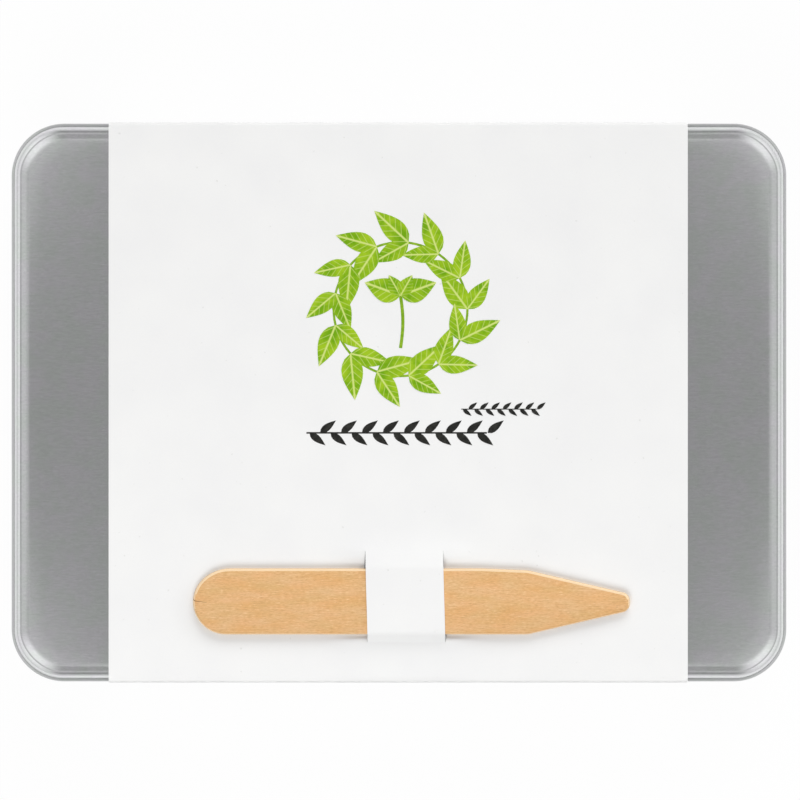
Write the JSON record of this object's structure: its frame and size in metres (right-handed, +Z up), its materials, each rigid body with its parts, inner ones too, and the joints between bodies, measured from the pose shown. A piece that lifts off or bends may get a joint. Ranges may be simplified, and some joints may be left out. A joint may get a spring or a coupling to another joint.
{
  "type": "garden seed organizer box",
  "caption": "Slip-lid metal tin in a paper saddle sleeve that straps a wooden plant marker on top, with seed packets, spare markers and a guide in card compartments.",
  "frame": {"origin": "middle of the plane that the tin stands on, below the middle of the closed tin", "axes": "+X along the tin's length, the way the marker's point lies; +Y across the tin, away from the edge that the marker lies near; +Z up, out of the lid"},
  "size_m": [0.2, 0.1448, 0.0385],
  "materials": {
    "tinplate": "satin",
    "sleeve_paper": "matte",
    "marker_wood": "matte",
    "divider_card": "matte",
    "packet_paper": "matte",
    "seeds": "matte",
    "guide_cover_card": "matte",
    "guide_paper": "matte",
    "band_paper": "matte"
  },
  "bodies": {
    "base": {"tin_base": "tinplate", "back_label": "sleeve_paper", "card_insert": "divider_card", "growing_guide_cover": "guide_cover_card", "growing_guide_pages": "guide_paper", "marker_band": "band_paper", "seed_packet_01": "packet_paper", "seed_packet_02": "packet_paper", "seed_packet_03": "packet_paper", "seed_packet_04": "packet_paper", "seed_packet_05": "packet_paper", "seed_packet_06": "packet_paper", "seed_packet_07": "packet_paper", "seed_packet_08": "packet_paper", "seed_packet_09": "packet_paper", "seed_packet_10": "packet_paper", "seed_packet_11": "packet_paper", "seed_packet_12": "packet_paper", "seed_fill_01": "seeds", "seed_fill_02": "seeds", "seed_fill_03": "seeds", "seed_fill_04": "seeds", "seed_fill_05": "seeds", "seed_fill_06": "seeds", "seed_fill_07": "seeds", "seed_fill_08": "seeds", "seed_fill_09": "seeds", "seed_fill_10": "seeds", "seed_fill_11": "seeds", "seed_fill_12": "seeds", "spare_marker_01": "marker_wood", "spare_marker_02": "marker_wood", "spare_marker_03": "marker_wood", "spare_marker_04": "marker_wood", "spare_marker_05": "marker_wood", "spare_marker_06": "marker_wood", "spare_marker_07": "marker_wood", "spare_marker_08": "marker_wood", "spare_marker_09": "marker_wood", "spare_marker_10": "marker_wood", "spare_marker_11": "marker_wood"},
    "lid": {"tin_lid": "tinplate"},
    "sleeve": {"paper_sleeve": "sleeve_paper"},
    "marker": {"plant_marker": "marker_wood"}
  },
  "joints": [
    {"name": "lid_lift", "type": "slide", "parent": "base", "child": "lid", "axis": [0, 0, 1], "range_m": [0, 0.06]},
    {"name": "sleeve_slide", "type": "slide", "parent": "lid", "child": "sleeve", "axis": [1, 0, 0], "range_m": [-0.17, 0.17]},
    {"name": "marker_slide", "type": "slide", "parent": "sleeve", "child": "marker", "axis": [1, 0, 0], "range_m": [-0.066, 0.063]}
  ]
}
